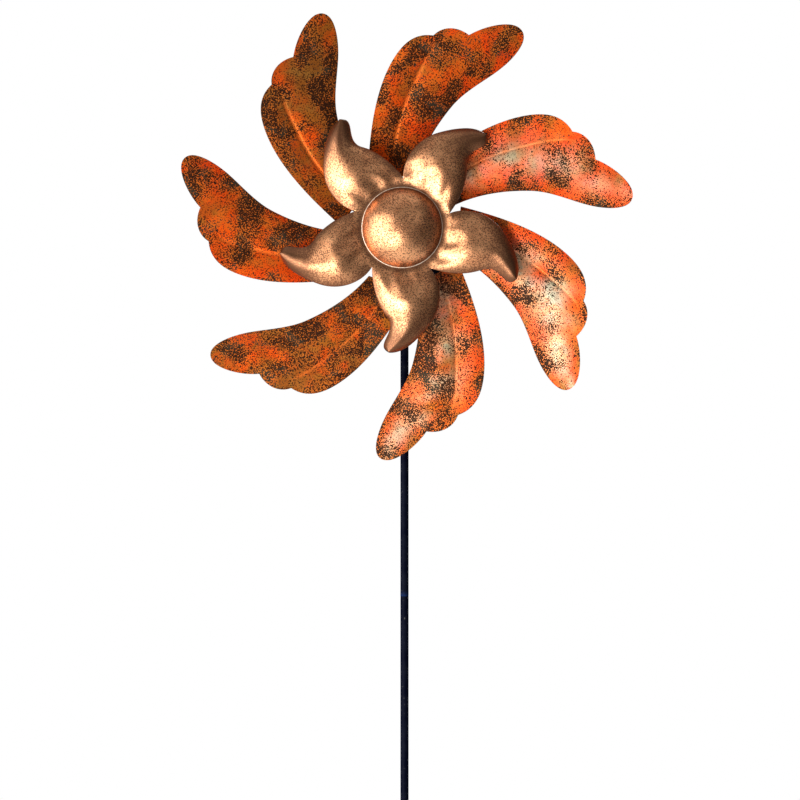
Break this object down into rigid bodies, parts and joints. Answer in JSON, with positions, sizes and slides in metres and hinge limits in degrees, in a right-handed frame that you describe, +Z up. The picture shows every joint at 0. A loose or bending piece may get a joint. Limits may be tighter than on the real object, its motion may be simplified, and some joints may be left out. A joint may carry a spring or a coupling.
{
  "type": "wind spinner",
  "caption": "Wind-driven garden ornament: a wheel of swept, pitched sheet blades and a smaller petal rotor turn on one axle, on a swivelling head atop a sectioned pole with a ground fork.",
  "frame": {"origin": "where the centre spike leaves the underside of the step bar, at the soil line", "axes": "+Z up along the pole; the rotors face -Y; +X to the right of someone looking along +Y at the rotors' front"},
  "size_m": [0.5943, 0.1535, 1.8899],
  "materials": {
    "flame_coat": "mottled rust-orange patina with dark brown and grey-green patches under a satin clear coat",
    "bronze_coat": "antique bronze metallic with a fine dark speckle, satin",
    "black_coat": "glossy black powder coat",
    "zinc_plate": "bright zinc plate",
    "bearing_steel": "ground bright steel",
    "nylon": "natural nylon",
    "sintered_bronze": "oil-filled sintered bronze"
  },
  "bodies": {
    "stake": {"ground_spike": "black_coat", "side_prong_left": "black_coat", "side_prong_right": "black_coat", "step_bar": "black_coat", "fork_socket": "black_coat", "lower_pole": "black_coat", "middle_pole": "black_coat", "upper_pole": "black_coat", "pole_studs": "zinc_plate", "pole_sockets": "zinc_plate", "pivot_plug": "zinc_plate", "pivot_pin": "bearing_steel"},
    "swivel_head": {"swivel_sleeve": "black_coat", "axle_boss": "black_coat", "sleeve_bushes": "nylon", "pivot_cup": "sintered_bronze", "axle": "bearing_steel", "axle_lock_nut": "zinc_plate", "rear_washer": "zinc_plate", "axle_jam_nut": "zinc_plate", "rear_spacer": "zinc_plate", "hub_spacer": "zinc_plate", "wheel_bearing_inner_rings": "bearing_steel", "wheel_inner_spacer": "zinc_plate", "flower_bearing_inner_rings": "bearing_steel", "flower_inner_spacer": "zinc_plate", "front_washer": "zinc_plate", "retaining_nut": "zinc_plate", "centre_dome": "bronze_coat", "dome_boss": "zinc_plate"},
    "wheel": {"wheel_hub": "black_coat", "wheel_bearing_outer_rings": "bearing_steel", "wheel_bearing_shields": "bearing_steel", "arm_screws": "zinc_plate", "arm_nuts": "zinc_plate", "blade_arm_1": "black_coat", "blade_arm_2": "black_coat", "blade_arm_3": "black_coat", "blade_arm_4": "black_coat", "blade_arm_5": "black_coat", "blade_arm_6": "black_coat", "blade_arm_7": "black_coat", "blade_1": "flame_coat", "blade_2": "flame_coat", "blade_3": "flame_coat", "blade_4": "flame_coat", "blade_5": "flame_coat", "blade_6": "flame_coat", "blade_7": "flame_coat"},
    "wheel_balls": {"wheel_bearing_balls": "bearing_steel", "wheel_bearing_cages": "bearing_steel"},
    "flower": {"flower_hub": "black_coat", "flower_bearing_outer_rings": "bearing_steel", "flower_bearing_shields": "bearing_steel", "flower_petals": "bronze_coat", "flower_screws": "zinc_plate", "flower_nuts": "zinc_plate"},
    "flower_balls": {"flower_bearing_balls": "bearing_steel", "flower_bearing_cages": "bearing_steel"}
  },
  "joints": [
    {"name": "head_swivel", "type": "hinge", "parent": "stake", "child": "swivel_head", "pos_m": [0, 0, 1.39], "axis": [0, 0, 1], "continuous": true},
    {"name": "wheel_spin", "type": "hinge", "parent": "swivel_head", "child": "wheel", "pos_m": [0, 0, 1.43], "axis": [0, -1, 0], "continuous": true},
    {"name": "flower_spin", "type": "hinge", "parent": "swivel_head", "child": "flower", "pos_m": [0, 0, 1.43], "axis": [0, -1, 0], "continuous": true},
    {"name": "wheel_balls_orbit", "type": "hinge", "parent": "swivel_head", "child": "wheel_balls", "pos_m": [0, 0, 1.43], "axis": [0, -1, 0], "continuous": true},
    {"name": "flower_balls_orbit", "type": "hinge", "parent": "swivel_head", "child": "flower_balls", "pos_m": [0, 0, 1.43], "axis": [0, -1, 0], "continuous": true}
  ],
  "couplings": [
    {"joint": "wheel_balls_orbit", "follows": "wheel_spin", "ratio": 0.632},
    {"joint": "flower_balls_orbit", "follows": "flower_spin", "ratio": 0.632}
  ]
}
